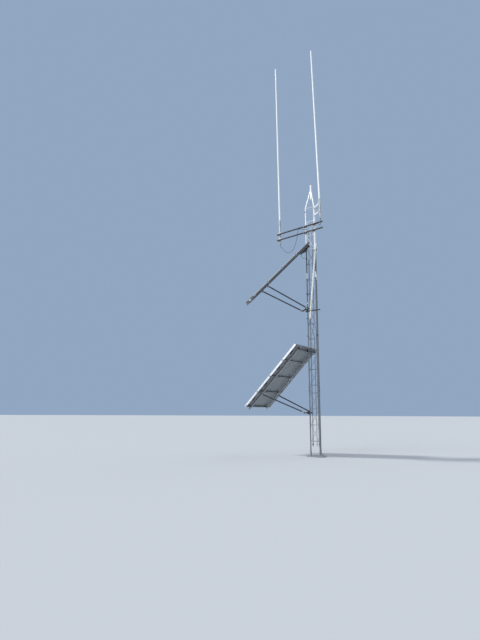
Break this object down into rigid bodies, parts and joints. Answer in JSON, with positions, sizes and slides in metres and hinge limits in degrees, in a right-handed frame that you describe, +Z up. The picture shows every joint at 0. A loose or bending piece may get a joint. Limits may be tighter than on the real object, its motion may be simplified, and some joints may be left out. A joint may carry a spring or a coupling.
{
  "type": "radio mast with whip antennas and solar arrays",
  "caption": "Three-sided welded lattice mast on a base plate, with whip antennas on clamped arms and brackets and two sloping solar arrays held by cross pipes and struts.",
  "frame": {"origin": "centre of the base plate's underside, on the lattice's centre line", "axes": "+Z up along the mast, -Y out of the lattice's front side, +X to the right seen from the front"},
  "size_m": [2.3459, 2.1578, 11.6589],
  "materials": {
    "arm_pipe": "weathered zinc, dark",
    "base_steel": "weathered zinc",
    "box_plastic": "black moulded",
    "cable_jacket": "black jacket",
    "clamp_zinc": "zinc plate",
    "lattice_steel": "dull hot-dip zinc",
    "leg_steel": "dull hot-dip zinc",
    "module_frame": "satin anodised",
    "radome_shell": "white fibreglass, satin",
    "rail_steel": "dull zinc",
    "strut_pipe": "weathered zinc, dark",
    "whip_metal": "satin",
    "white_tube": "white, satin"
  },
  "bodies": {
    "root": {"base_plate": "base_steel", "base_leg_left": "leg_steel", "base_leg_right": "leg_steel", "base_leg_rear": "leg_steel", "base_lattice_front": "lattice_steel", "base_lattice_right": "lattice_steel", "base_lattice_left": "lattice_steel", "lower_sleeves": "leg_steel", "middle_leg_left": "leg_steel", "middle_leg_right": "leg_steel", "middle_leg_rear": "leg_steel", "middle_lattice_front": "lattice_steel", "middle_lattice_right": "lattice_steel", "middle_lattice_left": "lattice_steel", "upper_sleeves": "leg_steel", "top_leg_left": "leg_steel", "top_leg_right": "leg_steel", "top_leg_rear": "leg_steel", "top_lattice_front": "lattice_steel", "top_lattice_right": "lattice_steel", "top_lattice_left": "lattice_steel", "top_pole": "leg_steel", "upper_arm": "arm_pipe", "lower_arm": "arm_pipe", "arm_clamps": "clamp_zinc", "left_whip_sleeve": "whip_metal", "left_whip_radome": "radome_shell", "left_whip_clamps": "clamp_zinc", "right_whip_sleeve": "whip_metal", "right_whip_radome": "radome_shell", "low_bracket": "clamp_zinc", "high_bracket": "clamp_zinc", "upper_module_1": "module_frame", "upper_module_2": "module_frame", "upper_module_3": "module_frame", "upper_module_4": "module_frame", "upper_rails": "rail_steel", "upper_hanger": "arm_pipe", "upper_struts": "strut_pipe", "upper_foot_pipe": "arm_pipe", "lower_module_1": "module_frame", "lower_module_2": "module_frame", "lower_module_3": "module_frame", "lower_module_4": "module_frame", "lower_rails": "rail_steel", "lower_hanger": "arm_pipe", "lower_struts": "strut_pipe", "lower_foot_pipe": "arm_pipe", "side_tube": "white_tube", "side_tube_clamp": "clamp_zinc", "front_bar": "strut_pipe", "left_jumper": "cable_jacket", "left_feeder": "cable_jacket", "right_jumper": "cable_jacket", "right_feeder": "cable_jacket", "array_cable": "cable_jacket", "tube_cable": "cable_jacket", "junction_box": "box_plastic", "connectors": "whip_metal"}
  },
  "joints": []
}
